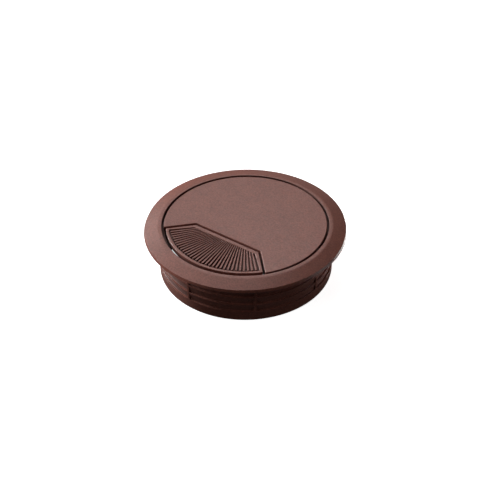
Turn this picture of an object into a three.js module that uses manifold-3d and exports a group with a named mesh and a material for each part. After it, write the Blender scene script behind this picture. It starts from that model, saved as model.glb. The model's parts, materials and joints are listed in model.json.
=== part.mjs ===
// Desk grommet for an 80 mm cable hole: a flanged liner that drops into the desktop, a round
// cap that lifts out of it, and a spring-closed cable flap that swings down from the cap.
//
// Units are millimetres, +Z is up, the origin is the centre of the liner's open bottom end,
// and the cable outlet faces -Y.

import * as THREE from 'three';
import { mergeVertices } from 'three/addons/utils/BufferGeometryUtils.js';
import Module from 'manifold-3d';

const wasm = await Module();
wasm.setup();

// ---------------------------------------------------------------- driving dimensions

const HEIGHT = 22.7;              // cap's top face above the liner's bottom end
const ROUND_SIDES = 72;           // facets round the large turned shapes

const FLANGE_RADIUS = 45;         // outside of the flange that covers the hole's edge
const FLANGE_UNDERSIDE = HEIGHT - 2.75;
const FLANGE_CREST_RADIUS = 38.4; // flat band round the cap; the flange slopes away outside it
const OPENING_RADIUS = 37.1;      // recess that the cap drops into
const LEDGE_DEPTH = 2.3;          // ledge under the cap, below the cap's top face
const BORE_RADIUS = 35.7;         // clear inside of the barrel
const BARREL_RADIUS = 39.1;       // outside of the barrel and of its grip lips
const LIP_ROOT_RADIUS = 38.3;     // barrel between the lips
const LIP_DEPTHS = [18.1, 14.15, 10.2]; // sharp upper edge of each lip, below the cap's top
const NECK_RADIUS = 39.2;         // plain neck between the flange and the lips
const NECK_DEPTH = 6.3;
const RIB_COUNT = 8;
const RIB_WIDTH = 1.2;
const RIB_FIRST_ANGLE = -93;      // degrees round +Z from +X

const CAP_RADIUS = 36.1;
const CAP_THICKNESS = 2;
const SKIRT_OUTSIDE = 35.35;      // skirt that centres the cap in the bore
const SKIRT_WALL = 1.3;
const SKIRT_DEPTH = 8;            // below the cap's top face
const SKIRT_GAP_HALF_ANGLE = 50.5;  // the skirt stops at the walls beside the outlet

const OUTLET_CHORD = 12.9;        // straight inner edge of the outlet, from the centre
const OUTLET_APEX = -5.53;        // where the two slanted edges would meet
const OUTLET_HALF_ANGLE = 43.3;   // slanted edges to the outlet's centre line, in degrees
const OUTLET_WALL = 1.2;          // walls that hang from the cap along the slanted edges
const OUTLET_WALL_DEPTH = 7;      // below the cap's top face
const OUTLET_WALL_REACH = 34.6;   // the walls' outer ends, from the centre
const OUTLET_WALL_START = 7;      // and their inner ends, at the hinge ears
const FLAP_EDGE_GAP = 0.95;       // between flap and cap
const FLAP_RADIUS = 35.2;
const FLAP_DROP = 0.2;            // flap's rim below the cap's top face
const FLAP_THICKNESS = 1.8;
const FLAP_LIP_INSIDE = 33.8;     // a low lip under the flap's round edge
const FLAP_LIP_DEPTH = 2.4;       // below the flap's top face
const GRIP_RIB_COUNT = 31;        // raised ribs in the flap's recess
const GRIP_RIB_PITCH = 2.92;      // degrees, about the cap's centre
const GRIP_DEPTH = 0.9;
const GRIP_OUTER_RADIUS = 33.4;
const GRIP_FLOOR_RADIUS = 33.9;
const GRIP_BORDER = 1.1;          // flat border along the slanted edges
const GRIP_CHORD_BORDER = 1.75;   // and along the chord

const HINGE_FROM_CENTRE = 8;      // hinge line, parallel to the outlet's chord
const HINGE_DEPTH = 4.2;          // hinge line below the cap's top face
const PIN_RADIUS = 1;
const PIN_BORE_RADIUS = 1.15;
const PIN_LENGTH = 25.4;
const KNUCKLE_RADIUS = 1.9;
const ARM_INNER = 5.2;            // each flap arm spans these distances from the centre line
const ARM_OUTER = 9.4;
const EAR_INNER = 9.8;            // and each cap ear these
const EAR_OUTER = 12.2;
const EAR_RADIUS = 2.2;

const SPRING_WIRE_RADIUS = 0.25;
const SPRING_COIL_RADIUS = 1.6;
const SPRING_TURNS = 6;
const SPRING_PITCH = 0.72;
const SPRING_STEPS_PER_TURN = 10;
const SPRING_LEG = 9;
const SPRING_LEG_STEPS = 9;

const brown = { color: 0x6b4a42, roughness: 0.55, metalness: 0 };
const steel = { color: 0xb8b9bb, roughness: 0.35, metalness: 1 };

// ---------------------------------------------------------------- solids

function toSolid(geometry) {
  const bare = geometry.clone();
  bare.deleteAttribute('normal');
  bare.deleteAttribute('uv');
  const merged = mergeVertices(bare, 1e-4);
  return new wasm.Manifold(new wasm.Mesh({
    numProp: 3,
    vertProperties: new Float32Array(merged.attributes.position.array),
    triVerts: new Uint32Array(merged.index.array),
  }));
}

function toGeometry(solid) {
  const mesh = solid.getMesh();
  const geometry = new THREE.BufferGeometry();
  geometry.setAttribute('position', new THREE.BufferAttribute(mesh.vertProperties, mesh.numProp));
  geometry.setIndex(new THREE.BufferAttribute(mesh.triVerts, 1));
  geometry.computeVertexNormals();
  return geometry;
}

function toMesh(name, solid, finish) {
  const mesh = new THREE.Mesh(toGeometry(solid), new THREE.MeshStandardMaterial(finish));
  mesh.name = name;
  return mesh;
}

// A closed profile of [radius, height] points, counter-clockwise, turned about +Z.
function turned(points, sides = ROUND_SIDES) {
  const profile = points.map(([radius, height]) => new THREE.Vector2(radius, height));
  profile.push(profile[0].clone());
  const lathe = new THREE.LatheGeometry(profile, sides);
  lathe.rotateX(Math.PI / 2);
  return toSolid(lathe);
}

// An outline of [x, y] points pulled up from one height to another.
function upright(points, low, high) {
  const shape = new THREE.Shape(points.map(([x, y]) => new THREE.Vector2(x, y)));
  const geometry = new THREE.ExtrudeGeometry(shape, { depth: high - low, bevelEnabled: false });
  geometry.translate(0, 0, low);
  return toSolid(geometry);
}

function box(low, high) {
  const size = high.map((value, axis) => value - low[axis]);
  const centre = high.map((value, axis) => (value + low[axis]) / 2);
  const geometry = new THREE.BoxGeometry(...size);
  geometry.translate(...centre);
  return toSolid(geometry);
}

// A round bar along X, centred on the hinge line, between two distances from the centre line.
function hingeBar(radius, fromX, toX, sides = 24) {
  const geometry = new THREE.CylinderGeometry(radius, radius, toX - fromX, sides);
  geometry.rotateZ(Math.PI / 2);
  geometry.translate((fromX + toX) / 2, -HINGE_FROM_CENTRE, HEIGHT - HINGE_DEPTH);
  return toSolid(geometry);
}

function onCircle(radius, degrees) {
  const angle = THREE.MathUtils.degToRad(degrees);
  return [radius * Math.cos(angle), radius * Math.sin(angle)];
}

// The outlet's outline, drawn in from its edges by an inset, out to a round outer edge.
function outletOutline(inset, outerRadius, chordInset = inset) {
  const halfAngle = THREE.MathUtils.degToRad(OUTLET_HALF_ANGLE);
  const apex = OUTLET_APEX + inset / Math.sin(halfAngle);
  const chord = OUTLET_CHORD + chordInset;
  const chordHalf = (chord - apex) * Math.tan(halfAngle);
  const slope = Math.tan(halfAngle);
  const a = 1 + slope * slope;
  const b = -2 * slope * slope * apex;
  const c = slope * slope * apex * apex - outerRadius * outerRadius;
  const cornerDistance = (-b + Math.sqrt(b * b - 4 * a * c)) / (2 * a);
  const cornerAngle = THREE.MathUtils.radToDeg(Math.acos(cornerDistance / outerRadius));
  const steps = 24;
  const points = [[-chordHalf, -chord]];
  for (let step = 0; step <= steps; step += 1) {
    const degrees = -90 - cornerAngle + (2 * cornerAngle * step) / steps;
    points.push(onCircle(outerRadius, degrees));
  }
  points.push([chordHalf, -chord]);
  return points;
}

// ---------------------------------------------------------------- liner

// The lips are saw-toothed: a flat step faces up, and the wall tapers in below it, so the
// barrel slides down into the hole and grips on the way back up.
function linerProfile() {
  const top = HEIGHT;
  const crestHeight = top + 0.1;
  const points = [
    [BORE_RADIUS, 0.4],
    [BORE_RADIUS + 0.4, 0],
    [BARREL_RADIUS - 0.2, 0],
    [BARREL_RADIUS, 0.2],
  ];
  const lipEdge = 0.4;
  LIP_DEPTHS.forEach((depth, lip) => {
    if (lip > 0) {
      points.push([BARREL_RADIUS, top - depth - lipEdge]);
    }
    points.push([BARREL_RADIUS, top - depth]);
    points.push([LIP_ROOT_RADIUS, top - depth + 0.1]);
  });
  points.push([BARREL_RADIUS, top - NECK_DEPTH - lipEdge]);
  points.push([NECK_RADIUS, top - NECK_DEPTH]);
  points.push([NECK_RADIUS, FLANGE_UNDERSIDE]);
  points.push([FLANGE_RADIUS - 0.3, FLANGE_UNDERSIDE]);
  points.push([FLANGE_RADIUS, FLANGE_UNDERSIDE + 0.3]);
  const slopeFoot = { radius: FLANGE_RADIUS - 0.25, height: crestHeight - 1.72 };
  points.push([FLANGE_RADIUS, slopeFoot.height - 0.2]);
  const slopeSteps = 3;
  for (let step = 0; step < slopeSteps; step += 1) {
    const share = step / slopeSteps;
    const radius = THREE.MathUtils.lerp(slopeFoot.radius, FLANGE_CREST_RADIUS, share);
    const fall = (1 - share) ** 1.1;
    points.push([radius, THREE.MathUtils.lerp(crestHeight, slopeFoot.height, fall)]);
  }
  points.push([FLANGE_CREST_RADIUS, crestHeight]);
  points.push([OPENING_RADIUS + 0.3, crestHeight]);
  points.push([OPENING_RADIUS, crestHeight - 0.3]);
  points.push([OPENING_RADIUS, top - LEDGE_DEPTH]);
  points.push([BORE_RADIUS, top - LEDGE_DEPTH]);
  return points;
}

function barrelRibs() {
  const low = HEIGHT - LIP_DEPTHS[0];
  const ribs = [];
  for (let index = 0; index < RIB_COUNT; index += 1) {
    const reach = BARREL_RADIUS * Math.cos(Math.asin(RIB_WIDTH / 2 / BARREL_RADIUS));
    const geometry = new THREE.BoxGeometry(2, RIB_WIDTH, FLANGE_UNDERSIDE + 0.5 - low);
    geometry.translate(reach - 1, 0, (FLANGE_UNDERSIDE + 0.5 + low) / 2);
    geometry.rotateZ(THREE.MathUtils.degToRad(RIB_FIRST_ANGLE + (360 / RIB_COUNT) * index));
    ribs.push(toSolid(geometry));
  }
  return ribs;
}

function makeLiner() {
  return barrelRibs().reduce((liner, rib) => liner.add(rib), turned(linerProfile()));
}

// ---------------------------------------------------------------- cap

function capDisc() {
  const edge = 0.3;
  return turned([
    [0, HEIGHT - CAP_THICKNESS],
    [CAP_RADIUS - edge, HEIGHT - CAP_THICKNESS],
    [CAP_RADIUS, HEIGHT - CAP_THICKNESS + edge],
    [CAP_RADIUS, HEIGHT - edge],
    [CAP_RADIUS - edge, HEIGHT],
    [0, HEIGHT],
  ]);
}

// The skirt is a thin ring under the disc, open across the outlet.
function capSkirt() {
  const inside = SKIRT_OUTSIDE - SKIRT_WALL;
  const low = HEIGHT - SKIRT_DEPTH;
  const ring = turned([
    [inside, low],
    [SKIRT_OUTSIDE - 0.5, low],
    [SKIRT_OUTSIDE, low + 1],
    [SKIRT_OUTSIDE, HEIGHT - 1],
    [inside, HEIGHT - 1],
  ]);
  const reach = 60;
  const outlet = upright([
    [0, 0],
    onCircle(reach, -90 - SKIRT_GAP_HALF_ANGLE),
    [0, -reach],
    onCircle(reach, -90 + SKIRT_GAP_HALF_ANGLE),
  ], low - 1, HEIGHT);
  return ring.subtract(outlet);
}

// Two straight walls hang from the disc along the outlet's slanted edges. They run from the
// hinge ears out to the skirt.
function outletWall(side) {
  const halfAngle = THREE.MathUtils.degToRad(OUTLET_HALF_ANGLE);
  const along = [Math.sin(halfAngle), -Math.cos(halfAngle)];
  const away = [Math.cos(halfAngle), Math.sin(halfAngle)];
  const inner = [(OUTLET_WALL_START - OUTLET_APEX) * Math.tan(halfAngle), -OUTLET_WALL_START];
  const reachAlong = inner[0] * along[0] + inner[1] * along[1];
  const offLine = inner[0] * away[0] + inner[1] * away[1];
  const length = Math.sqrt(OUTLET_WALL_REACH ** 2 - offLine ** 2) - reachAlong;
  const corner = (forward, aside) => [
    side * (inner[0] + along[0] * forward + away[0] * aside),
    inner[1] + along[1] * forward + away[1] * aside,
  ];
  const outline = [corner(0, 0), corner(length, 0), corner(length, OUTLET_WALL), corner(0, OUTLET_WALL)];
  return upright(outline, HEIGHT - OUTLET_WALL_DEPTH, HEIGHT - 1);
}

// Two ears hang from the disc and hold the ends of the hinge pin.
function capEar(side) {
  const [fromX, toX] = side > 0 ? [EAR_INNER, EAR_OUTER] : [-EAR_OUTER, -EAR_INNER];
  const plate = box(
    [fromX, -HINGE_FROM_CENTRE - EAR_RADIUS, HEIGHT - HINGE_DEPTH],
    [toX, -HINGE_FROM_CENTRE + EAR_RADIUS, HEIGHT - 1],
  );
  return plate.add(hingeBar(EAR_RADIUS, fromX, toX));
}

function makeCap() {
  const outletCut = upright(outletOutline(0, CAP_RADIUS + 5), HEIGHT - CAP_THICKNESS - 1, HEIGHT + 1);
  const pinBore = hingeBar(PIN_BORE_RADIUS, -EAR_OUTER - 1, EAR_OUTER + 1);
  const parts = [capSkirt(), outletWall(-1), outletWall(1), capEar(-1), capEar(1)];
  return parts.reduce((cap, part) => cap.add(part), capDisc().subtract(outletCut)).subtract(pinBore);
}

// ---------------------------------------------------------------- flap

// One tapered slot between two grip ribs, running out from near the cap's centre.
function gripSlot(degrees) {
  const halfWidth = GRIP_RIB_PITCH / 4;
  const start = OUTLET_CHORD * 0.5;
  return upright([
    onCircle(start, degrees - halfWidth),
    onCircle(GRIP_OUTER_RADIUS, degrees - halfWidth),
    onCircle(GRIP_OUTER_RADIUS, degrees + halfWidth),
    onCircle(start, degrees + halfWidth),
  ], HEIGHT - FLAP_DROP - GRIP_DEPTH, HEIGHT + 1);
}

// The floor of the recess runs on past the ribs' ends as a narrow channel along the round edge.
function gripChannel() {
  const ring = turned([
    [GRIP_OUTER_RADIUS - 0.1, HEIGHT - FLAP_DROP - GRIP_DEPTH],
    [GRIP_FLOOR_RADIUS, HEIGHT - FLAP_DROP - GRIP_DEPTH],
    [GRIP_FLOOR_RADIUS, HEIGHT + 1],
    [GRIP_OUTER_RADIUS - 0.1, HEIGHT + 1],
  ]);
  return ring;
}

function flapPlate() {
  const outline = outletOutline(FLAP_EDGE_GAP, FLAP_RADIUS);
  const top = HEIGHT - FLAP_DROP;
  const plate = upright(outline, top - FLAP_THICKNESS, top);
  const sideInset = FLAP_EDGE_GAP + GRIP_BORDER;
  const chordInset = FLAP_EDGE_GAP + GRIP_CHORD_BORDER;
  const recess = upright(
    outletOutline(sideInset, GRIP_FLOOR_RADIUS, chordInset),
    top - GRIP_DEPTH - 1,
    HEIGHT + 2,
  );
  let cut = gripChannel();
  for (let slot = 0; slot <= GRIP_RIB_COUNT; slot += 1) {
    cut = cut.add(gripSlot(-90 + GRIP_RIB_PITCH * (slot - GRIP_RIB_COUNT / 2)));
  }
  return plate.subtract(cut.intersect(recess));
}

// The lip thickens the flap along its round edge only.
function flapLip() {
  const top = HEIGHT - FLAP_DROP;
  const ring = turned([
    [FLAP_LIP_INSIDE, top - FLAP_LIP_DEPTH],
    [FLAP_RADIUS, top - FLAP_LIP_DEPTH],
    [FLAP_RADIUS, top - FLAP_THICKNESS / 2],
    [FLAP_LIP_INSIDE, top - FLAP_THICKNESS / 2],
  ]);
  const span = upright(outletOutline(FLAP_EDGE_GAP, FLAP_RADIUS + 1), top - FLAP_LIP_DEPTH - 1, top);
  return ring.intersect(span);
}

// Each arm runs from under the flap back beneath the cap to a knuckle on the pin. Its front
// part bears on the cap's underside, which stops the closed flap level with the cap.
function flapArm(side) {
  const [fromX, toX] = side > 0 ? [ARM_INNER, ARM_OUTER] : [-ARM_OUTER, -ARM_INNER];
  const armTop = HEIGHT - CAP_THICKNESS - 0.3;
  const armBottom = HEIGHT - HINGE_DEPTH - 0.4;
  const riserStart = -(OUTLET_CHORD + FLAP_EDGE_GAP + 0.05);
  const arm = box([fromX, -20, armBottom], [toX, -HINGE_FROM_CENTRE, armTop]);
  const riser = box([fromX, -20, armBottom], [toX, riserStart, HEIGHT - FLAP_DROP - 1.3]);
  return arm.add(riser).add(hingeBar(KNUCKLE_RADIUS, fromX, toX));
}

function makeFlap() {
  const pinBore = hingeBar(PIN_BORE_RADIUS, -ARM_OUTER - 1, ARM_OUTER + 1);
  return flapPlate().add(flapLip()).add(flapArm(-1)).add(flapArm(1)).subtract(pinBore);
}

// ---------------------------------------------------------------- hinge pin and spring

function makePin() {
  const half = PIN_LENGTH / 2;
  const chamfer = 0.3;
  const geometry = new THREE.LatheGeometry([
    new THREE.Vector2(0, -half),
    new THREE.Vector2(PIN_RADIUS - chamfer, -half),
    new THREE.Vector2(PIN_RADIUS, -half + chamfer),
    new THREE.Vector2(PIN_RADIUS, half - chamfer),
    new THREE.Vector2(PIN_RADIUS - chamfer, half),
    new THREE.Vector2(0, half),
  ], 24);
  geometry.rotateZ(Math.PI / 2);
  geometry.translate(0, -HINGE_FROM_CENTRE, HEIGHT - HINGE_DEPTH);
  return toSolid(geometry);
}

// A torsion spring round the pin. Both legs leave the top of the coil: one runs back under
// the cap, the other forward under the flap, and they push the two apart.
class SpringPath extends THREE.Curve {
  getPoint(share, target = new THREE.Vector3()) {
    const coilHeight = HEIGHT - HINGE_DEPTH;
    const coilLength = 2 * Math.PI * SPRING_COIL_RADIUS * SPRING_TURNS;
    const total = coilLength + 2 * SPRING_LEG;
    const along = share * total;
    const halfWidth = (SPRING_TURNS * SPRING_PITCH) / 2;
    if (along < SPRING_LEG) {
      const back = SPRING_LEG - along;
      return target.set(-halfWidth, -HINGE_FROM_CENTRE + back, coilHeight + SPRING_COIL_RADIUS);
    }
    if (along > SPRING_LEG + coilLength) {
      const front = along - SPRING_LEG - coilLength;
      return target.set(halfWidth, -HINGE_FROM_CENTRE - front, coilHeight + SPRING_COIL_RADIUS);
    }
    const turn = ((along - SPRING_LEG) / coilLength) * SPRING_TURNS;
    const angle = 2 * Math.PI * turn;
    return target.set(
      -halfWidth + turn * SPRING_PITCH,
      -HINGE_FROM_CENTRE - SPRING_COIL_RADIUS * Math.sin(angle),
      coilHeight + SPRING_COIL_RADIUS * Math.cos(angle),
    );
  }
}

function makeSpring() {
  const section = new THREE.Shape();
  section.absarc(0, 0, SPRING_WIRE_RADIUS, 0, 2 * Math.PI);
  const geometry = new THREE.ExtrudeGeometry(section, {
    steps: SPRING_TURNS * SPRING_STEPS_PER_TURN + 2 * SPRING_LEG_STEPS,
    curveSegments: 3,
    extrudePath: new SpringPath(),
  });
  return toSolid(geometry);
}

// ---------------------------------------------------------------- assembly

const grommet = new THREE.Group();
grommet.name = 'desk_grommet';
grommet.add(toMesh('liner', makeLiner(), brown));
grommet.add(toMesh('cap', makeCap(), brown));
grommet.add(toMesh('flap', makeFlap(), brown));
grommet.add(toMesh('hinge_pin', makePin(), steel));
grommet.add(toMesh('return_spring', makeSpring(), steel));

export default grommet;
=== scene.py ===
"""Desk grommet: the finished look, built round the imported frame.

Laid out as an add-on with one operator for each piece and one for the stage. Lengths are in
metres, +Z is up, and the cable outlet faces -Y.
"""

import json
import math

import bmesh
import bpy
from bpy.props import FloatProperty, FloatVectorProperty, IntProperty, PointerProperty
from mathutils import Matrix, Vector


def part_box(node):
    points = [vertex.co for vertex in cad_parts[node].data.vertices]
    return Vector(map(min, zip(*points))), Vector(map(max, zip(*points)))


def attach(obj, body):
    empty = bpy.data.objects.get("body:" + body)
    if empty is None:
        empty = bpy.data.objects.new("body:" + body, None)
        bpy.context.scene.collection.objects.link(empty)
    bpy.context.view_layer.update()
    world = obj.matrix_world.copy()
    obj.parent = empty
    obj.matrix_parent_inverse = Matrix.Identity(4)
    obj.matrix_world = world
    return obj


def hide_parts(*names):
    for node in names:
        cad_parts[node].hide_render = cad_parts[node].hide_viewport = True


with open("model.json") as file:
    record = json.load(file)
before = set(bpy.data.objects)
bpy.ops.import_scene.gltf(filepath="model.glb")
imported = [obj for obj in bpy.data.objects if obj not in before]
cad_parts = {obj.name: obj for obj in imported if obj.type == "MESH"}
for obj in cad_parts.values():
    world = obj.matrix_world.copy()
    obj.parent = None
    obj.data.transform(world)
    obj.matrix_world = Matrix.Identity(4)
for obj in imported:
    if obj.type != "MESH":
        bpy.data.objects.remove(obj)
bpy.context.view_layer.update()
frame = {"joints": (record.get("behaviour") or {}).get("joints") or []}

bl_info = {
    "name": "Desk grommet",
    "version": (1, 0, 0),
    "blender": (4, 5, 0),
    "location": "View3D > Sidebar > Grommet",
    "description": "Builds a moulded desk grommet with its cap, cable flap, pin and spring",
    "category": "Add Mesh",
}

MM = 0.001
LINER_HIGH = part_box("liner")[1]
CAP_LOW, CAP_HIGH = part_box("cap")
FLAP_LOW, FLAP_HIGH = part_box("flap")
PIN_LOW, PIN_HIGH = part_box("hinge_pin")
HINGE = next(joint for joint in frame["joints"] if joint["name"] == "flap_hinge")["pos_m"]

CREST = LINER_HIGH[2]
CAP_TOP = CAP_HIGH[2]
FLAP_TOP = FLAP_HIGH[2]
FRONT = -math.pi / 2


# ------------------------------------------------------------------ sizes and colours

class GrommetLinerSizes(bpy.types.PropertyGroup):
    """Sizes of the flanged liner."""

    flange_radius: FloatProperty(
        name="Flange radius", description="Outside of the flange",
        default=LINER_HIGH[0], unit="LENGTH")
    opening_radius: FloatProperty(
        name="Opening radius", description="Recess that the cap drops into",
        default=37.1 * MM, unit="LENGTH")
    flat_band: FloatProperty(
        name="Flat band", description="Width of the flat band between recess and slope",
        default=1.35 * MM, unit="LENGTH")
    bore_radius: FloatProperty(
        name="Bore radius", description="Clear inside of the barrel",
        default=35.7 * MM, unit="LENGTH")
    barrel_radius: FloatProperty(
        name="Barrel radius", description="Outside of the barrel over its grip lips",
        default=39.1 * MM, unit="LENGTH")
    lip_step: FloatProperty(
        name="Lip step", description="How far each grip lip stands out",
        default=0.8 * MM, unit="LENGTH")
    lip_pitch: FloatProperty(
        name="Lip pitch", description="Height from one grip lip to the next",
        default=3.95 * MM, unit="LENGTH")
    ledge_depth: FloatProperty(
        name="Ledge depth", description="Ledge under the cap, below the cap's top face",
        default=2.3 * MM, unit="LENGTH")
    rib_count: IntProperty(
        name="Ribs", description="Thin upright ribs round the barrel", default=8, min=1)
    rib_width: FloatProperty(
        name="Rib width", description="Width of one upright rib",
        default=1.2 * MM, unit="LENGTH")


class GrommetCapSizes(bpy.types.PropertyGroup):
    """Sizes of the lift-out cap and its outlet."""

    radius: FloatProperty(
        name="Radius", description="Outside of the cap's disc",
        default=CAP_HIGH[0], unit="LENGTH")
    thickness: FloatProperty(
        name="Thickness", description="Thickness of the disc", default=2 * MM, unit="LENGTH")
    edge_rounding: FloatProperty(
        name="Edge rounding", description="Radius on the disc's edges",
        default=0.32 * MM, unit="LENGTH")
    outlet_chord: FloatProperty(
        name="Outlet chord", description="Straight edge of the outlet, from the cap's centre",
        default=12.9 * MM, unit="LENGTH")
    outlet_apex: FloatProperty(
        name="Outlet apex", description="Where the slanted edges would meet, behind the centre",
        default=5.53 * MM, unit="LENGTH")
    outlet_half_angle: FloatProperty(
        name="Outlet half angle", description="Slanted edges to the outlet's centre line",
        default=math.radians(43.3), subtype="ANGLE")
    skirt_radius: FloatProperty(
        name="Skirt radius", description="Outside of the skirt under the disc",
        default=35.35 * MM, unit="LENGTH")
    skirt_wall: FloatProperty(
        name="Skirt wall", description="Thickness of the skirt", default=1.3 * MM, unit="LENGTH")
    skirt_half_gap: FloatProperty(
        name="Skirt half gap", description="Half of the skirt's opening at the outlet",
        default=math.radians(50.5), subtype="ANGLE")
    wall_depth: FloatProperty(
        name="Wall depth", description="Walls beside the outlet, below the cap's top face",
        default=7 * MM, unit="LENGTH")


class GrommetFlapSizes(bpy.types.PropertyGroup):
    """Sizes of the ribbed cable flap."""

    radius: FloatProperty(
        name="Radius", description="Round outer edge of the flap, from the cap's centre",
        default=-FLAP_LOW[1], unit="LENGTH")
    edge_gap: FloatProperty(
        name="Edge gap", description="Gap between flap and cap", default=0.95 * MM, unit="LENGTH")
    thickness: FloatProperty(
        name="Thickness", description="Thickness of the flap", default=1.8 * MM, unit="LENGTH")
    grip_depth: FloatProperty(
        name="Grip depth", description="Depth of the recess that holds the grip ribs",
        default=0.9 * MM, unit="LENGTH")
    lip_depth: FloatProperty(
        name="Lip depth", description="Lip under the round edge, below the flap's top face",
        default=2.8 * MM, unit="LENGTH")
    grip_ribs: IntProperty(
        name="Grip ribs", description="Raised ribs in the recess", default=31, min=2)
    grip_pitch: FloatProperty(
        name="Grip pitch", description="Angle from one grip rib to the next",
        default=math.radians(2.92), subtype="ANGLE")
    grip_radius: FloatProperty(
        name="Grip radius", description="Outer ends of the grip ribs",
        default=33.4 * MM, unit="LENGTH")


class GrommetFinish(bpy.types.PropertyGroup):
    """Colours and surface of the plastic and the steel."""

    plastic: FloatVectorProperty(
        name="Plastic", description="Colour of the moulded plastic", subtype="COLOR",
        size=3, min=0, max=1, default=(0.198, 0.063, 0.043))
    plastic_roughness: FloatProperty(
        name="Plastic roughness", description="Roughness of the moulded grain",
        default=0.4, min=0, max=1, subtype="FACTOR")
    grain_size: FloatProperty(
        name="Grain size", description="Size of one pit of the moulded grain",
        default=0.7 * MM, unit="LENGTH")
    steel: FloatVectorProperty(
        name="Steel", description="Colour of the pin and the spring", subtype="COLOR",
        size=3, min=0, max=1, default=(0.56, 0.56, 0.57))


# ------------------------------------------------------------------ outlines and profiles

def on_circle(radius, angle):
    return Vector((radius * math.cos(angle), radius * math.sin(angle)))


def filleted(points, radii, steps=4):
    """A closed outline with each corner replaced by an arc of its own radius."""
    result = []
    count = len(points)
    for index, radius in enumerate(radii):
        corner = Vector(points[index])
        before = Vector(points[index - 1]) - corner
        after = Vector(points[(index + 1) % count]) - corner
        half = before.angle(after) / 2
        if radius <= 0 or half > math.radians(89):
            result.append(corner)
            continue
        setback = radius / math.tan(half)
        setback = min(setback, 0.49 * before.length, 0.49 * after.length)
        radius = setback * math.tan(half)
        start = corner + before.normalized() * setback
        end = corner + after.normalized() * setback
        towards = (before.normalized() + after.normalized()).normalized()
        centre = corner + towards * (radius / math.sin(half))
        for step in range(steps + 1):
            share = step / steps
            chord = start.lerp(end, share) - centre
            swing = (start - centre).angle(end - centre)
            if swing > 1e-6:
                first = math.sin((1 - share) * swing) / math.sin(swing)
                second = math.sin(share * swing) / math.sin(swing)
                chord = (start - centre) * first + (end - centre) * second
            result.append(centre + chord)
    return result


def outlet_half_width(sizes, distance, inset):
    """Half the outlet's width at a distance from the cap's centre, drawn in by an inset."""
    reach = distance + sizes.outlet_apex
    side = math.tan(sizes.outlet_half_angle)
    return reach * side - inset / math.cos(sizes.outlet_half_angle)


def outlet_corner_angle(sizes, radius, inset):
    """Angle off the outlet's centre line where its slanted edge meets a circle."""
    low, high = 0.0, radius
    for _ in range(60):
        middle = (low + high) / 2
        if math.hypot(middle, outlet_half_width(sizes, middle, inset)) < radius:
            low = middle
        else:
            high = middle
    return math.atan2(outlet_half_width(sizes, low, inset), low)


def arc_points(radius, start, end, steps):
    return [on_circle(radius, start + (end - start) * step / steps) for step in range(steps + 1)]


# ------------------------------------------------------------------ mesh helpers

def new_piece(name, mesh, body, finish):
    """Puts a mesh in the scene as a piece that rides on a body."""
    piece = bpy.data.objects.new(name, mesh)
    bpy.context.scene.collection.objects.link(piece)
    mesh.materials.append(finish)
    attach(piece, body)
    return piece


def mesh_from(name, vertices, edges, faces, smooth=True):
    mesh = bpy.data.meshes.new(name)
    mesh.from_pydata([tuple(vertex) for vertex in vertices], edges, faces)
    mesh.update()
    if smooth:
        mesh.shade_smooth()
    return mesh


def profile_mesh(name, profile):
    """A closed profile of (radius, height) points as a loop of edges at +X."""
    vertices = [(radius, 0, height) for radius, height in profile]
    count = len(vertices)
    edges = [(index, (index + 1) % count) for index in range(count)]
    return mesh_from(name, vertices, edges, [], smooth=False)


def add_screw(piece, steps):
    """Turns a profile once round the upright axis."""
    screw = piece.modifiers.new("Turn", "SCREW")
    screw.angle = math.tau
    screw.steps = steps
    screw.render_steps = steps
    screw.use_merge_vertices = True
    screw.merge_threshold = 1e-6
    screw.use_smooth_shade = True


def add_weighted_normals(piece):
    """Keeps the large flat faces flat to the eye beside their rounded edges."""
    weighted = piece.modifiers.new("Even shading", "WEIGHTED_NORMAL")
    weighted.mode = "FACE_AREA"
    weighted.weight = 100
    weighted.keep_sharp = True


def add_wall(piece, thickness):
    """Gives a flat sheet its thickness, away from the side its faces point to."""
    wall = piece.modifiers.new("Wall", "SOLIDIFY")
    wall.thickness = thickness
    wall.offset = -1
    wall.use_even_offset = True


def add_rounding(piece, width, segments=3):
    rounding = piece.modifiers.new("Rounded edges", "BEVEL")
    rounding.width = width
    rounding.segments = segments
    rounding.limit_method = "ANGLE"
    rounding.angle_limit = math.radians(35)
    rounding.use_clamp_overlap = True
    rounding.miter_outer = "MITER_ARC"


def flat_sheet(name, outlines, height):
    """Flat faces at one height, each drawn counter-clockwise, so they face up."""
    vertices = []
    faces = []
    for outline in outlines:
        first = len(vertices)
        vertices.extend((point[0], point[1], height) for point in outline)
        faces.append(list(range(first, len(vertices))))
    return mesh_from(name, vertices, [], faces)


def across_hinge(mesh, middle):
    """Stands a flat mesh up: its X goes to -Y, its Y to Z and its Z to -X, about the hinge."""
    turn = Matrix(((0, 0, -1), (-1, 0, 0), (0, 1, 0))).to_4x4()
    mesh.transform(Matrix.Translation((middle, HINGE[1], HINGE[2])) @ turn)


def applied_mesh(piece):
    """The piece's mesh with its modifiers applied."""
    bpy.context.view_layer.update()
    shown = piece.evaluated_get(bpy.context.evaluated_depsgraph_get())
    mesh = bpy.data.meshes.new_from_object(shown)
    mesh.name = piece.name
    return mesh


# ------------------------------------------------------------------ finishes

def link(tree, source, target):
    tree.links.new(source, target)


def node(tree, kind, **inputs):
    """A node with some of its inputs set."""
    made = tree.nodes.new(kind)
    for name, value in inputs.items():
        made.inputs[name].default_value = value
    return made


def new_finish(name):
    """A material, with its nodes and its shader."""
    finish = bpy.data.materials.new(name)
    finish.use_nodes = True
    tree = finish.node_tree
    shader = tree.nodes["Principled BSDF"]
    return finish, tree, shader


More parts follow.
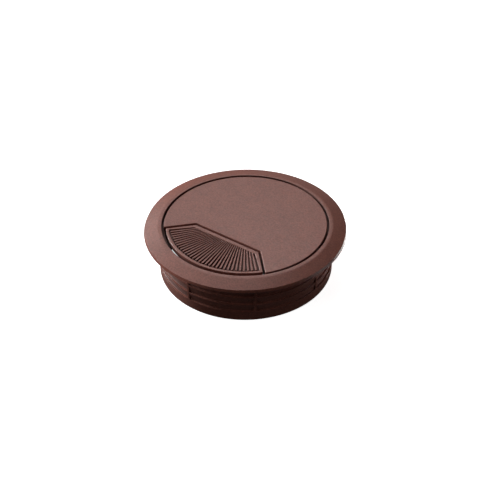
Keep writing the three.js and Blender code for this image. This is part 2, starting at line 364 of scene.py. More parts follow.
def ramp(tree, source, low, high, low_value, high_value):
    """Maps a factor between two stops to two values."""
    mapped = tree.nodes.new("ShaderNodeMapRange")
    mapped.inputs["From Min"].default_value = low
    mapped.inputs["From Max"].default_value = high
    mapped.inputs["To Min"].default_value = low_value
    mapped.inputs["To Max"].default_value = high_value
    link(tree, source, mapped.inputs["Value"])
    return mapped.outputs["Result"]


def feed(tree, socket, value):
    """Gives a socket a number, a colour or another node's output."""
    if isinstance(value, (int, float)):
        socket.default_value = value
    elif isinstance(value, tuple):
        socket.default_value = (*value, 1)
    else:
        link(tree, value, socket)


def tinted(tree, factor, first, second):
    """A mix of two colours, with all of the second where the factor is 1."""
    mix = tree.nodes.new("ShaderNodeMix")
    mix.data_type = "RGBA"
    feed(tree, mix.inputs["Factor"], factor)
    ends = [item for item in mix.inputs if item.type == "RGBA"]
    for socket, value in zip(ends, (first, second)):
        feed(tree, socket, value)
    return next(item for item in mix.outputs if item.type == "RGBA")


def scaled(colour, factor):
    """A lighter or darker colour."""
    return tuple(min(1, channel * factor) for channel in colour)


def calculated(tree, operation, first, second):
    """A Math node on two sockets or numbers."""
    made = tree.nodes.new("ShaderNodeMath")
    made.operation = operation
    for socket, value in zip(made.inputs, (first, second)):
        feed(tree, socket, value)
    return made.outputs["Value"]


def distance_from_axis(tree, place):
    """How far a point is from the grommet's upright axis."""
    flat = tree.nodes.new("ShaderNodeVectorMath")
    flat.operation = "MULTIPLY"
    flat.inputs[1].default_value = (1, 1, 0)
    link(tree, place.outputs["Object"], flat.inputs[0])
    length = tree.nodes.new("ShaderNodeVectorMath")
    length.operation = "LENGTH"
    link(tree, flat.outputs["Vector"], length.inputs[0])
    return length.outputs["Value"]


def worn_and_highlit_edge(tree, place, edge, scuffs):
    """A factor of 1 near a round edge, where wear from fingers and cables is marked and a
    highlight is painted.
    """
    away = calculated(tree, "SUBTRACT", distance_from_axis(tree, place), edge)
    away = calculated(tree, "ABSOLUTE", away, 0)
    near = ramp(tree, away, 0.1 * MM, 0.5 * MM, 1, 0)
    broken = ramp(tree, scuffs, 0.42, 0.62, 0, 1)
    return calculated(tree, "MULTIPLY", near, broken)


def painted_shade_in(tree, place, nook, cloud):
    """A factor of 1 in a nook, given by two radii and two heights, that fades at its ends; it
    marks where shade is painted into gaps and slots.
    """
    inner, outer, low, high = nook
    fade = 0.15 * MM
    radius = distance_from_axis(tree, place)
    split = tree.nodes.new("ShaderNodeSeparateXYZ")
    link(tree, place.outputs["Object"], split.inputs["Vector"])
    height = split.outputs["Z"]
    # Painted shade, broken up a little by the cloud noise.
    nook_shade = ramp(tree, cloud, 0.35, 0.65, 0.8, 1)
    for side in (
        ramp(tree, radius, inner - fade, inner, 0, 1),
        ramp(tree, radius, outer, outer + fade, 1, 0),
        ramp(tree, height, low - fade, low, 0, 1),
        ramp(tree, height, high, high + fade, 1, 0),
    ):
        nook_shade = calculated(tree, "MULTIPLY", nook_shade, side)
    return nook_shade


def plastic_colour(tree, colour, cloud, grain, wear_and_highlight, nook_shade):
    """Cloudy and speckled plastic, a little lighter at the edge from wear and a painted
    highlight, and almost black where shade is painted into a nook.
    """
    clouds = ramp(tree, cloud, 0.3, 0.7, 0, 1)
    clouded = tinted(tree, clouds, scaled(colour, 0.86), scaled(colour, 1.14))
    pits = ramp(tree, grain, 0.3, 0.7, 0, 1)
    speckled = tinted(tree, pits, scaled(colour, 0.5), scaled(colour, 1.5))
    blended = tinted(tree, 0.5, clouded, speckled)
    # Wear and painted highlight: the edge's colour is lifted towards a lighter red.
    lightened = calculated(tree, "MULTIPLY", wear_and_highlight, 0.12)
    wear_and_highlight_colour = tinted(tree, lightened, blended, scaled(colour, 2))
    # Painted shade: the nook's colour goes almost to black, in place of the shade in gaps and
    # slots.
    painted_shade_share = calculated(tree, "MULTIPLY", nook_shade, 0.6)
    return tinted(tree, painted_shade_share, wear_and_highlight_colour, scaled(colour, 0.15))


def plastic_roughness(tree, roughness, scuffs, wear_and_highlight, nook_shade):
    """Uneven satin, smoother at the edge that wear has polished and duller in the nook where
    shade is painted.
    """
    gloss = ramp(tree, scuffs, 0.3, 0.7, roughness - 0.06, roughness + 0.07)
    polish = calculated(tree, "MULTIPLY", wear_and_highlight, 0.08)
    polished = calculated(tree, "SUBTRACT", gloss, polish)
    dulled = calculated(tree, "MULTIPLY", nook_shade, 0.3)
    return calculated(tree, "ADD", polished, dulled)


def grain_relief(tree, coarse, fine):
    """The moulded grain's relief, its fine pits on its coarse ones."""
    coarse_bump = node(tree, "ShaderNodeBump", Strength=0.4, Distance=0.06 * MM)
    fine_bump = node(tree, "ShaderNodeBump", Strength=0.3, Distance=0.03 * MM)
    link(tree, coarse, coarse_bump.inputs["Height"])
    link(tree, fine, fine_bump.inputs["Height"])
    link(tree, coarse_bump.outputs["Normal"], fine_bump.inputs["Normal"])
    return fine_bump.outputs["Normal"]


def plastic_finish(name, look, seed, edge, nook):
    """Satin moulded plastic: leathery grain, cloudy flow marks, an edge lightened by wear and a
    painted highlight, and painted shade in a nook.
    """
    finish, tree, shader = new_finish(name)
    place = tree.nodes.new("ShaderNodeTexCoord")
    shift = tree.nodes.new("ShaderNodeMapping")
    shift.inputs["Location"].default_value = (seed * 0.37, seed * 0.21, seed * 0.11)
    link(tree, place.outputs["Object"], shift.inputs["Vector"])
    fineness = 1 / look.grain_size
    textures = (
        node(tree, "ShaderNodeTexNoise", Scale=fineness, Detail=2.0, Roughness=0.6),
        node(tree, "ShaderNodeTexNoise", Scale=2.7 * fineness, Detail=3.0, Roughness=0.6),
        node(tree, "ShaderNodeTexNoise", Scale=100.0, Detail=3.0, Roughness=0.6),
        node(tree, "ShaderNodeTexNoise", Scale=420.0, Detail=5.0, Roughness=0.7),
    )
    for texture in textures:
        link(tree, shift.outputs["Vector"], texture.inputs["Vector"])
    grain, fine, cloud, scuffs = (texture.outputs["Fac"] for texture in textures)
    # Edge mask: real wear, and a painted highlight in the edge's colour.
    wear_and_highlight = worn_and_highlit_edge(tree, place, edge, scuffs)
    # Painted shade in the nook.
    nook_shade = painted_shade_in(tree, place, nook, cloud)
    colour = plastic_colour(tree, tuple(look.plastic), cloud, grain, wear_and_highlight, nook_shade)
    gloss = plastic_roughness(tree, look.plastic_roughness, scuffs, wear_and_highlight, nook_shade)
    link(tree, colour, shader.inputs["Base Color"])
    link(tree, gloss, shader.inputs["Roughness"])
    link(tree, grain_relief(tree, grain, fine), shader.inputs["Normal"])
    shader.inputs["IOR"].default_value = 1.5
    shader.inputs["Sheen Weight"].default_value = 0.12
    shader.inputs["Sheen Roughness"].default_value = 0.4
    return finish


def steel_finish(name, look, seed, roughness):
    """Drawn steel: fine lines along the wire and a faint oily variation."""
    finish, tree, shader = new_finish(name)
    place = tree.nodes.new("ShaderNodeTexCoord")
    stretch = tree.nodes.new("ShaderNodeMapping")
    stretch.inputs["Scale"].default_value = (0.08, 1, 1)
    stretch.inputs["Location"].default_value = (seed, 0, 0)
    link(tree, place.outputs["Object"], stretch.inputs["Vector"])
    lines = node(tree, "ShaderNodeTexNoise", Scale=9000.0, Detail=3.0, Roughness=0.6)
    film = node(tree, "ShaderNodeTexNoise", Scale=500.0, Detail=3.0, Roughness=0.5)
    link(tree, stretch.outputs["Vector"], lines.inputs["Vector"])
    link(tree, place.outputs["Object"], film.inputs["Vector"])
    colour = tuple(look.steel)
    shade = ramp(tree, film.outputs["Fac"], 0.3, 0.7, 0, 1)
    base = tinted(tree, shade, scaled(colour, 0.82), scaled(colour, 1.08))
    link(tree, base, shader.inputs["Base Color"])
    gloss = ramp(tree, lines.outputs["Fac"], 0.3, 0.7, roughness - 0.07, roughness + 0.09)
    link(tree, gloss, shader.inputs["Roughness"])
    bump = node(tree, "ShaderNodeBump", Strength=0.15, Distance=0.01 * MM)
    link(tree, lines.outputs["Fac"], bump.inputs["Height"])
    link(tree, bump.outputs["Normal"], shader.inputs["Normal"])
    shader.inputs["Metallic"].default_value = 1
    return finish


# ------------------------------------------------------------------ liner

def flange_and_barrel_profile(sizes):
    """The liner's wall, down the outside from the flange's crest and back up the bore."""
    rim = sizes.flange_radius
    lip = sizes.barrel_radius
    root = lip - sizes.lip_step
    neck = lip + 0.1 * MM
    underside = CREST - 2.85 * MM
    crest_edge = sizes.opening_radius + sizes.flat_band
    slope_foot = Vector((rim - 0.48 * MM, CREST - 1.55 * MM))
    slope_steps = 10
    slope_bulge = 1.03
    lip_face = 0.4 * MM
    lip_fall = 0.06 * MM
    points = []
    radii = []

    def corner(radius, height, rounding=0.0):
        points.append((radius, height))
        radii.append(rounding)

    corner(sizes.opening_radius, CREST, 0.14 * MM)
    for step in range(slope_steps + 1):
        share = step / slope_steps
        radius = crest_edge + (slope_foot.x - crest_edge) * share
        height = CREST + (slope_foot.y - CREST) * share ** slope_bulge
        corner(radius, height, 0.06 * MM if step == slope_steps else 0)
    corner(rim, underside + 0.22 * MM, 0.05 * MM)
    corner(rim - 0.15 * MM, underside, 0.1 * MM)
    corner(neck, underside, 0.25 * MM)
    lip_top = CAP_TOP - 6.25 * MM
    corner(neck, lip_top, 0.1 * MM)
    for _ in range(3):
        corner(lip, lip_top - lip_face, 0.15 * MM)
        lip_top -= sizes.lip_pitch
        corner(root, lip_top + lip_fall, 0.12 * MM)
        corner(lip, lip_top, 0.1 * MM)
    corner(lip, 0, 0.15 * MM)
    corner(sizes.bore_radius, 0, 0.35 * MM)
    ledge = CAP_TOP - sizes.ledge_depth
    corner(sizes.bore_radius, ledge, 0.2 * MM)
    corner(sizes.opening_radius, ledge, 0.1 * MM)
    return filleted(points, radii)


class GROMMET_OT_liner(bpy.types.Operator):
    """Build the flanged liner and the upright ribs round its barrel"""

    bl_idname = "grommet.liner"
    bl_label = "Liner"

    def execute(self, context):
        sizes = context.scene.grommet_liner
        look = context.scene.grommet_finish
        # The gap round the cap and the recess wall get painted shade.
        recess = (0, sizes.opening_radius + 0.06 * MM, CAP_TOP - 3 * MM, CREST - 0.1 * MM)
        # The flange's outer edge gets wear and a painted highlight.
        rim = sizes.flange_radius - 0.3 * MM
        finish = plastic_finish("liner_plastic", look, 1, rim, recess)
        mesh = profile_mesh("liner_shell", flange_and_barrel_profile(sizes))
        shell = new_piece("liner_shell", mesh, "liner", finish)
        add_screw(shell, 240)
        add_weighted_normals(shell)
        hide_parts("liner")
        self.ribs(sizes, finish)
        return {"FINISHED"}

    def ribs(self, sizes, finish):
        """Thin upright ribs from under the flange down to the plain bottom band."""
        low = CAP_TOP - 18.1 * MM
        high = CREST - 2.6 * MM
        inside = sizes.barrel_radius - 1.6 * MM
        half = sizes.rib_width / 2
        outside = math.sqrt(sizes.barrel_radius ** 2 - half ** 2)
        first = math.radians(-93)
        vertices = []
        faces = []
        for index in range(sizes.rib_count):
            turn = Matrix.Rotation(first + math.tau * index / sizes.rib_count, 4, "Z")
            start = len(vertices)
            for height in (low, high):
                for x, y in ((inside, -half), (outside, -half), (outside, half), (inside, half)):
                    vertices.append(turn @ Vector((x, y, height)))
            faces.append([start + 3, start + 2, start + 1, start])
            faces.append([start + 4, start + 5, start + 6, start + 7])
            for side in range(4):
                after = (side + 1) % 4
                faces.append([start + side, start + after, start + 4 + after, start + 4 + side])
        mesh = mesh_from("barrel_ribs", vertices, [], faces)
        ribs = new_piece("barrel_ribs", mesh, "liner", finish)
        add_rounding(ribs, 0.14 * MM)
        add_weighted_normals(ribs)


# ------------------------------------------------------------------ cap

# The parts below the disc start inside it, this far below its top face.
ROOT_DEPTH = 1.5 * MM


def cap_outline(sizes):
    """The disc's edge with the outlet cut out of it, counter-clockwise from above."""
    corner = outlet_corner_angle(sizes, sizes.radius, 0)
    points = arc_points(sizes.radius, FRONT + corner, FRONT - corner + math.tau, 220)
    half = outlet_half_width(sizes, sizes.outlet_chord, 0)
    points.append(Vector((-half, -sizes.outlet_chord)))
    points.append(Vector((half, -sizes.outlet_chord)))
    return points


def ring_profile(inner, outer, length, rounding):
    """A closed profile for a short tube, down its outside and back up its bore."""
    points = [
        (inner, length / 2), (outer, length / 2), (outer, -length / 2), (inner, -length / 2),
    ]
    return filleted(points, [rounding] * 4, steps=3)


def turned_on_hinge(name, profile, steps, middle):
    """A turned piece laid along the hinge line, with its stack and its place applied."""
    helper = bpy.data.objects.new(name, profile_mesh(name, profile))
    bpy.context.scene.collection.objects.link(helper)
    add_screw(helper, steps)
    mesh = applied_mesh(helper)
    bpy.data.objects.remove(helper)
    mesh.transform(Matrix.Rotation(math.pi / 2, 4, "Y"))
    mesh.transform(Matrix.Translation((middle, HINGE[1], HINGE[2])))
    return mesh


def stood_sheet(name, outline, middle, width, rounding):
    """An upright plate across the hinge line, from an outline of (forward, up) points."""
    helper = bpy.data.objects.new(name, flat_sheet(name, [outline], width / 2))
    bpy.context.scene.collection.objects.link(helper)
    add_wall(helper, width)
    add_rounding(helper, rounding)
    mesh = applied_mesh(helper)
    bpy.data.objects.remove(helper)
    across_hinge(mesh, middle)
    return mesh


def joined(name, meshes):
    """Several closed meshes as one, with shared corners merged."""
    work = bmesh.new()
    for mesh in meshes:
        work.from_mesh(mesh)
        bpy.data.meshes.remove(mesh)
    bmesh.ops.remove_doubles(work, verts=work.verts, dist=1e-7)
    bmesh.ops.recalc_face_normals(work, faces=work.faces)
    mesh = bpy.data.meshes.new(name)
    work.to_mesh(mesh)
    work.free()
    mesh.shade_smooth()
    mesh.set_sharp_from_angle(angle=math.radians(50))
    return mesh


class GROMMET_OT_cap(bpy.types.Operator):
    """Build the cap: disc with its outlet, skirt and hinge ears"""

    bl_idname = "grommet.cap"
    bl_label = "Cap"

    def execute(self, context):
        sizes = context.scene.grommet_cap
        look = context.scene.grommet_finish
        # The cap's edge gets wear and a painted highlight.
        edge = sizes.radius - 0.3 * MM
        # The gap round the cap's edge gets painted shade.
        gap = (sizes.radius - 0.12 * MM, 2 * sizes.radius, CAP_TOP - 3 * MM, CAP_TOP - 0.1 * MM)
        finish = plastic_finish("cap_plastic", look, 2, edge, gap)
        mesh = flat_sheet("cap_disc", [cap_outline(sizes)], CAP_TOP)
        disc = new_piece("cap_disc", mesh, "cap", finish)
        add_wall(disc, sizes.thickness)
        add_rounding(disc, sizes.edge_rounding, segments=4)
        add_weighted_normals(disc)
        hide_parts("cap")
        self.skirt(sizes, finish)
        self.walls(sizes, finish)
        self.ears(sizes, finish)
        return {"FINISHED"}

    def skirt(self, sizes, finish):
        """A thin curved wall under the disc, open at the outlet."""
        steps = 150
        path = arc_points(
            sizes.skirt_radius,
            FRONT + sizes.skirt_half_gap, FRONT - sizes.skirt_half_gap + math.tau, steps)
        levels = (CAP_TOP - ROOT_DEPTH, CAP_LOW[2])
        vertices = [(point.x, point.y, level) for level in levels for point in path]
        row = len(path)
        faces = [[row + index, row + index + 1, index + 1, index] for index in range(steps)]
        mesh = mesh_from("cap_skirt", vertices, [], faces)
        skirt = new_piece("cap_skirt", mesh, "cap", finish)
        add_wall(skirt, sizes.skirt_wall)
        add_rounding(skirt, 0.3 * MM)
        add_weighted_normals(skirt)

    def walls(self, sizes, finish):
        """Two straight walls under the disc, from the ears along the outlet's slanted edges."""
        thickness = 1.2 * MM
        start = 7 * MM
        reach = 34.6 * MM
        outlines = []
        for side in (-1, 1):
            inner = Vector((side * outlet_half_width(sizes, start, 0), -start))
            along = Vector((side * math.sin(sizes.outlet_half_angle),
                            -math.cos(sizes.outlet_half_angle)))
            away = Vector((-along.y * side, along.x * side))
            off_line = inner.dot(away)
            length = math.sqrt(reach ** 2 - off_line ** 2) - inner.dot(along)
            outer = inner + along * length
            outline = [inner, outer, outer + away * thickness, inner + away * thickness]
            if side < 0:
                outline.reverse()
            outlines.append(outline)
        mesh = flat_sheet("outlet_walls", outlines, CAP_TOP - ROOT_DEPTH)
        walls = new_piece("outlet_walls", mesh, "cap", finish)
        add_wall(walls, sizes.wall_depth - ROOT_DEPTH)
        add_rounding(walls, 0.25 * MM)
        add_weighted_normals(walls)

    def ears(self, sizes, finish):
        """Two ears with a bore each, which hold the ends of the hinge pin."""
        radius, bore, width = 2.2 * MM, 1.05 * MM, 2.4 * MM
        place = 11 * MM
        rise = CAP_TOP - ROOT_DEPTH - HINGE[2]
        seat = arc_points(1.6 * MM, math.pi, 0, 12)
        outline = [(-radius, 0), *seat, (radius, 0), (radius, rise), (-radius, rise)]
        meshes = []
        for side in (-1, 1):
            eye = ring_profile(bore, radius, width, 0.2 * MM)
            meshes.append(turned_on_hinge("ear_eye", eye, 48, side * place))
            meshes.append(stood_sheet("ear_web", outline, side * place, width, 0.15 * MM))
        mesh = joined("hinge_ears", meshes)
        ears = new_piece("hinge_ears", mesh, "cap", finish)
        add_weighted_normals(ears)


# ------------------------------------------------------------------ flap

def flap_chord(cap, sizes):
    """The flap's straight edge, from the cap's centre."""
    return cap.outlet_chord + sizes.edge_gap


def recess_limits(cap, sizes):
    """The grip recess: half its angle, its straight edge and its round edge."""
    half_angle = sizes.grip_pitch * (sizes.grip_ribs / 2 + 0.35)
    return half_angle, flap_chord(cap, sizes) + 1.75 * MM, sizes.grip_radius + 0.5 * MM


class GROMMET_OT_flap(bpy.types.Operator):
    """Build the cable flap: bordered plate, radial grip ribs and hinge arms"""

    bl_idname = "grommet.flap"
    bl_label = "Flap"

    def execute(self, context):
        cap = context.scene.grommet_cap
        sizes = context.scene.grommet_flap
        look = context.scene.grommet_finish
        # The slots between the grip ribs get painted shade.
        slots = (0, sizes.grip_radius + 0.6 * MM, FLAP_TOP - 1.2 * MM, FLAP_TOP - 0.3 * MM)
        # The flap's round edge gets wear and a painted highlight.
        finish = plastic_finish("flap_plastic", look, 3, sizes.radius - 0.2 * MM, slots)
        border = self.border(cap, sizes, finish)
        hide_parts("flap")
        self.lip(cap, sizes, finish)
        self.floor(cap, sizes, finish)
        self.grip(cap, sizes, finish)
        self.arms(finish)
        return {"FINISHED"}

    def border(self, cap, sizes, finish):
        """The flap's flat edge all round, as two halves that meet on the centre line."""
        chord = flap_chord(cap, sizes)
        corner = outlet_corner_angle(cap, sizes.radius, sizes.edge_gap)
        chord_half = outlet_half_width(cap, chord, sizes.edge_gap)
        recess_angle, recess_chord, recess_radius = recess_limits(cap, sizes)
        outer = arc_points(sizes.radius, FRONT, FRONT + corner, 48)
        inner = arc_points(recess_radius, FRONT + recess_angle, FRONT, 48)
        recess_half = recess_chord * math.tan(recess_angle)
        right = [
            *outer, Vector((chord_half, -chord)), Vector((0, -chord)), Vector((0, -recess_chord)),
            Vector((recess_half, -recess_chord)), *inner,
        ]
        left = [Vector((-point.x, point.y)) for point in reversed(right)]
        mesh = flat_sheet("flap_border", [right, left], FLAP_TOP)
        work = bmesh.new()
        work.from_mesh(mesh)
        bmesh.ops.remove_doubles(work, verts=work.verts, dist=1e-6)
        work.to_mesh(mesh)
        work.free()
        border = new_piece("flap_border", mesh, "flap", finish)
        add_wall(border, sizes.thickness)
        add_rounding(border, 0.22 * MM)
        add_weighted_normals(border)
        return border

    def lip(self, cap, sizes, finish):
        """A low lip under the flap's round edge."""
        inner = 33.8 * MM
        outer = sizes.radius - 0.04 * MM
        corner = outlet_corner_angle(cap, outer, sizes.edge_gap) - math.radians(0.6)
        outline = [*arc_points(outer, FRONT - corner, FRONT + corner, 60),
                   *arc_points(inner, FRONT + corner, FRONT - corner, 60)]
        start = sizes.thickness / 2
        mesh = flat_sheet("flap_lip", [outline], FLAP_TOP - start)
        lip = new_piece("flap_lip", mesh, "flap", finish)
        add_wall(lip, sizes.lip_depth - start)
        add_rounding(lip, 0.2 * MM)
        add_weighted_normals(lip)

    def floor(self, cap, sizes, finish):
        """The sunk floor of the recess. Its edge is buried in the border."""
        bury = 0.5 * MM
        bury_angle = 0.02
        recess_angle, recess_chord, recess_radius = recess_limits(cap, sizes)
        angle = recess_angle + bury_angle
        chord = recess_chord - bury
        half = chord * math.tan(angle)
        outline = [*arc_points(recess_radius + bury, FRONT - angle, FRONT + angle, 60),
                   Vector((half, -chord)), Vector((-half, -chord))]
        mesh = flat_sheet("flap_floor", [outline], FLAP_TOP - sizes.grip_depth)
        floor = new_piece("flap_floor", mesh, "flap", finish)
        add_wall(floor, sizes.thickness - sizes.grip_depth - 0.02 * MM)
        add_rounding(floor, 0.05 * MM)
        add_weighted_normals(floor)

    def grip(self, cap, sizes, finish):
        """Raised ribs that run out from the cap's centre and end in round noses."""
        start_chord = flap_chord(cap, sizes) + 1.45 * MM
        half_angle = sizes.grip_pitch / 4
        nose = sizes.grip_radius * math.sin(half_angle)
        nose_centre = Vector((sizes.grip_radius - nose, 0))
        tip = [nose_centre + point for point in arc_points(nose, -math.pi / 2, math.pi / 2, 4)]
        outlines = []
        for index in range(sizes.grip_ribs):
            angle = FRONT + sizes.grip_pitch * (index + 0.5 - sizes.grip_ribs / 2)
            start = start_chord / -math.sin(angle)
            inner = start * math.sin(half_angle)
            outline = [Vector((start, inner)), Vector((start, -inner)), *tip]
            turn = Matrix.Rotation(angle, 2)
            outlines.append([turn @ point for point in outline])
        mesh = flat_sheet("grip_ribs", outlines, FLAP_TOP - 0.04 * MM)
        ribs = new_piece("grip_ribs", mesh, "flap", finish)
        add_wall(ribs, sizes.grip_depth + 0.2 * MM)
        add_rounding(ribs, 0.13 * MM)
        add_weighted_normals(ribs)

    def arms(self, finish):
        """Two arms under the cap's edge, with a knuckle each on the hinge pin."""
        width, place = 4.2 * MM, 7.3 * MM
        radius, bore = 1.9 * MM, 1.12 * MM
        top = CAP_TOP - 2.3 * MM - HINGE[2]
        low = -0.4 * MM
        step_out = 6.2 * MM
        end = 12 * MM
        rise = FLAP_TOP - 1.3 * MM - HINGE[2]
        seat = arc_points(1.5 * MM, math.radians(-15), math.radians(90), 8)
        outline = [*seat, (0, top), (step_out, top), (step_out, rise), (end, rise), (end, low)]
        outline.reverse()
        meshes = []
        for side in (-1, 1):
            eye = ring_profile(bore, radius, width, 0.2 * MM)
            meshes.append(turned_on_hinge("arm_eye", eye, 48, side * place))
            meshes.append(stood_sheet("arm_web", outline, side * place, width, 0.15 * MM))
        mesh = joined("flap_arms", meshes)
        arms = new_piece("flap_arms", mesh, "flap", finish)
        add_weighted_normals(arms)


# ------------------------------------------------------------------ hinge pin and spring

class GROMMET_OT_hinge_pin(bpy.types.Operator):
    """Build the steel pin through the ears and knuckles"""

    bl_idname = "grommet.hinge_pin"
    bl_label = "Hinge pin"

    def execute(self, context):
        look = context.scene.grommet_finish
        finish = steel_finish("pin_steel", look, 4, 0.28)
        radius = (PIN_HIGH[2] - PIN_LOW[2]) / 2
        half = (PIN_HIGH[0] - PIN_LOW[0]) / 2
        chamfer = 0.3 * MM
        tiny = 0.001 * MM
        profile = filleted(
            [(tiny, half), (radius - chamfer, half), (radius, half - chamfer),
             (radius, chamfer - half), (radius - chamfer, -half), (tiny, -half)],
            [0, 0.08 * MM, 0.08 * MM, 0.08 * MM, 0.08 * MM, 0], steps=3)
        mesh = turned_on_hinge("pin_rod", profile, 64, 0)
        mesh.shade_smooth()
        pin = new_piece("pin_rod", mesh, "cap", finish)
        add_weighted_normals(pin)
        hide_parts("hinge_pin")
        return {"FINISHED"}


def wire(name, points, radius, finish, body):
    """A round wire along a list of points, with its ends closed."""
    curve = bpy.data.curves.new(name, "CURVE")
    curve.dimensions = "3D"
    spline = curve.splines.new("POLY")
    spline.points.add(len(points) - 1)
    for target, point in zip(spline.points, points):
        target.co = (*point, 1)
    curve.bevel_depth = radius
    curve.bevel_resolution = 4
    curve.use_fill_caps = True
    helper = bpy.data.objects.new(name, curve)
    bpy.context.scene.collection.objects.link(helper)
    mesh = applied_mesh(helper)
    bpy.data.objects.remove(helper)
    bpy.data.curves.remove(curve)
    mesh = joined(name, [mesh])
    return new_piece(name, mesh, body, finish)


class GROMMET_OT_return_spring(bpy.types.Operator):
    """Build the torsion spring: coil and rear leg on the cap, front leg on the flap"""

    bl_idname = "grommet.return_spring"
    bl_label = "Return spring"

    def execute(self, context):
        look = context.scene.grommet_finish
        finish = steel_finish("spring_wire", look, 5, 0.36)
        radius = 0.25 * MM
        coil = 1.6 * MM
        turns = 6
        pitch = 0.72 * MM
        leg = 9 * MM
        steps = turns * 40
        half = turns * pitch / 2
        top = HINGE[2] + coil
        rear = [(-half, HINGE[1] + leg, top), (-half, HINGE[1] + leg / 2, top)]
        winding = []
        for step in range(steps + 1):
            angle = math.tau * turns * step / steps
            winding.append((
                -half + pitch * turns * step / steps,
                HINGE[1] - coil * math.sin(angle),
                HINGE[2] + coil * math.cos(angle)))
        body = wire("spring_coil", rear + winding, radius, finish, "cap")
        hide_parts("return_spring")
        front = [(half, HINGE[1] - leg * share, top) for share in (0, 0.3, 0.6, 1)]
        wire("spring_leg", front, radius, finish, "flap")
        return {"FINISHED"}


# ------------------------------------------------------------------ stage

CAMERA_AZIMUTH = math.radians(36.5)
CAMERA_ELEVATION = math.radians(36.56)
CAMERA_DISTANCE = 0.4177
CAMERA_LENS = 69.2
CAMERA_ROLL = math.radians(-0.87)
AIM_DROP = 12.78 * MM
AIM_SIDE = -0.11 * MM
LIGHT_DISTANCE = 1.2
LIGHT_SIZE = 0.45
GLOW_DISTANCE = 0.075
GLOW_SIZE = 0.06
GLOW_HEIGHT = 0.1 * MM

# Each studio light: degrees to the camera's right, degrees up, and watts.
STUDIO_LIGHTS = {
    "left_window": (-120, 18, 19),
    "front_left_card": (-60, 30, 1.8),
    "back_left_card": (-150, 30, 1.9),
    "high_left_card": (-120, 60, 1.6),
    "high_back_card": (180, 45, 2),
    "top_card": (180, 75, 1),
    "low_right_card": (80, 8, 1.8),
}


def around(azimuth, elevation, distance):
    """A place round the cap, with azimuth 0 at the camera's side and turning to its right."""
    turn = azimuth + CAMERA_AZIMUTH
    return Vector((
        math.sin(turn) * math.cos(elevation), -math.cos(turn) * math.cos(elevation),
        math.sin(elevation))) * distance + Vector((0, 0, CAP_TOP))


def round_light(name, size, power):
    """A round area light, still to be placed."""
    light = bpy.data.lights.new(name, "AREA")
    light.shape = "DISK"
    light.size = size
    light.energy = power
    lamp = bpy.data.objects.new(name, light)
    bpy.context.scene.collection.objects.link(lamp)
    return lamp


def soft_light(name, azimuth, elevation, power):
    """A round panel that faces the grommet."""
    lamp = round_light(name, LIGHT_SIZE, power)
    lamp.location = around(math.radians(azimuth), math.radians(elevation), LIGHT_DISTANCE)
    towards = Vector((0, 0, CAP_TOP / 2)) - lamp.location
    lamp.rotation_euler = towards.to_track_quat("-Z", "Y").to_euler()


def table_glow(name, azimuth, power):
    """A faint light that lies beside the barrel, where a pale table throws light back."""
    lamp = round_light(name, GLOW_SIZE, power)
    lamp.location = around(math.radians(azimuth), 0, GLOW_DISTANCE)
    lamp.location.z = GLOW_HEIGHT
    lamp.rotation_euler = (math.pi, 0, 0)
    lamp.visible_camera = False


def floor_finish():
    """Plain pale paper with a faint tooth."""
    finish, tree, shader = new_finish("pale_paper")
    place = tree.nodes.new("ShaderNodeTexCoord")
    tooth = node(tree, "ShaderNodeTexNoise", Scale=900.0, Detail=4.0, Roughness=0.6)
    link(tree, place.outputs["Object"], tooth.inputs["Vector"])
    shade = ramp(tree, tooth.outputs["Fac"], 0.3, 0.7, 0, 1)
    base = tinted(tree, shade, (0.86, 0.86, 0.86), (0.89, 0.89, 0.89))
    link(tree, base, shader.inputs["Base Color"])
    shader.inputs["Roughness"].default_value = 0.9
    shader.inputs["Emission Color"].default_value = (1, 1, 1, 1)
    shader.inputs["Emission Strength"].default_value = 0.93
    return finish


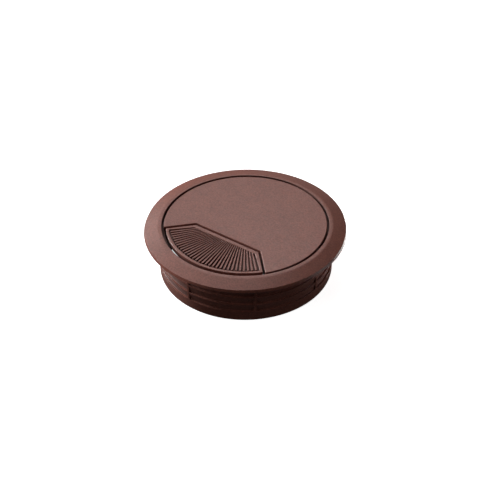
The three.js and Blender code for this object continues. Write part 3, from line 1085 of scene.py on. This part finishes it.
class GROMMET_OT_stage(bpy.types.Operator):
    """Lay the pale floor and set the soft lights and the camera"""

    bl_idname = "grommet.stage"
    bl_label = "Stage"

    def execute(self, context):
        self.floor(context)
        self.backdrop(context)
        for name, (azimuth, elevation, power) in STUDIO_LIGHTS.items():
            soft_light(name, azimuth, elevation, power)
        table_glow("right_table_glow", 105, 0.09)
        self.camera(context)
        context.scene.view_settings.view_transform = "Standard"
        return {"FINISHED"}

    def floor(self, context):
        """Pale paper that the grommet doesn't mirror and isn't lit by."""
        reach = 4.0
        corners = [(-reach, -reach, 0), (reach, -reach, 0), (reach, reach, 0), (-reach, reach, 0)]
        mesh = mesh_from("floor", corners, [], [[0, 1, 2, 3]], smooth=False)
        mesh.materials.append(floor_finish())
        floor = bpy.data.objects.new("floor", mesh)
        context.scene.collection.objects.link(floor)
        floor.visible_diffuse = False
        floor.visible_glossy = False

    def backdrop(self, context):
        """A dim white room all round."""
        world = bpy.data.worlds.new("studio")
        world.use_nodes = True
        background = world.node_tree.nodes["Background"]
        background.inputs["Color"].default_value = (1, 1, 1, 1)
        background.inputs["Strength"].default_value = 0.015
        context.scene.world = world

    def camera(self, context):
        lens = bpy.data.cameras.new("camera")
        lens.lens = CAMERA_LENS
        lens.sensor_width = 36
        lens.clip_start = 0.01
        lens.clip_end = 50
        camera = bpy.data.objects.new("camera", lens)
        context.scene.collection.objects.link(camera)
        place = around(0, CAMERA_ELEVATION, CAMERA_DISTANCE)
        right = Vector((math.cos(CAMERA_AZIMUTH), math.sin(CAMERA_AZIMUTH), 0))
        aim = Vector((0, 0, CAP_TOP - AIM_DROP)) + right * AIM_SIDE
        turn = (aim - place).to_track_quat("-Z", "Y").to_matrix()
        turn = turn @ Matrix.Rotation(CAMERA_ROLL, 3, "Z")
        camera.matrix_world = Matrix.Translation(place) @ turn.to_4x4()
        context.scene.camera = camera


# ------------------------------------------------------------------ panel and registration

class GROMMET_PT_panel(bpy.types.Panel):
    """Lists the grommet's pieces in the 3D view's sidebar"""

    bl_label = "Desk grommet"
    bl_idname = "GROMMET_PT_panel"
    bl_space_type = "VIEW_3D"
    bl_region_type = "UI"
    bl_category = "Grommet"

    def draw(self, context):
        for operator in OPERATORS:
            self.layout.operator(operator.bl_idname)
        for name in SETTINGS:
            group = getattr(context.scene, name)
            column = self.layout.column()
            for prop in group.__annotations__:
                column.prop(group, prop)


SETTINGS = {
    "grommet_liner": GrommetLinerSizes,
    "grommet_cap": GrommetCapSizes,
    "grommet_flap": GrommetFlapSizes,
    "grommet_finish": GrommetFinish,
}
OPERATORS = (
    GROMMET_OT_liner,
    GROMMET_OT_cap,
    GROMMET_OT_flap,
    GROMMET_OT_hinge_pin,
    GROMMET_OT_return_spring,
    GROMMET_OT_stage,
)
CLASSES = (*SETTINGS.values(), *OPERATORS, GROMMET_PT_panel)


def register():
    for item in CLASSES:
        bpy.utils.register_class(item)
    for name, group in SETTINGS.items():
        setattr(bpy.types.Scene, name, PointerProperty(type=group))


def unregister():
    for name in SETTINGS:
        delattr(bpy.types.Scene, name)
    for item in reversed(CLASSES):
        bpy.utils.unregister_class(item)


def main():
    register()
    bpy.ops.grommet.liner()
    bpy.ops.grommet.cap()
    bpy.ops.grommet.flap()
    bpy.ops.grommet.hinge_pin()
    bpy.ops.grommet.return_spring()
    bpy.ops.grommet.stage()


if __name__ == "__main__":
    main()
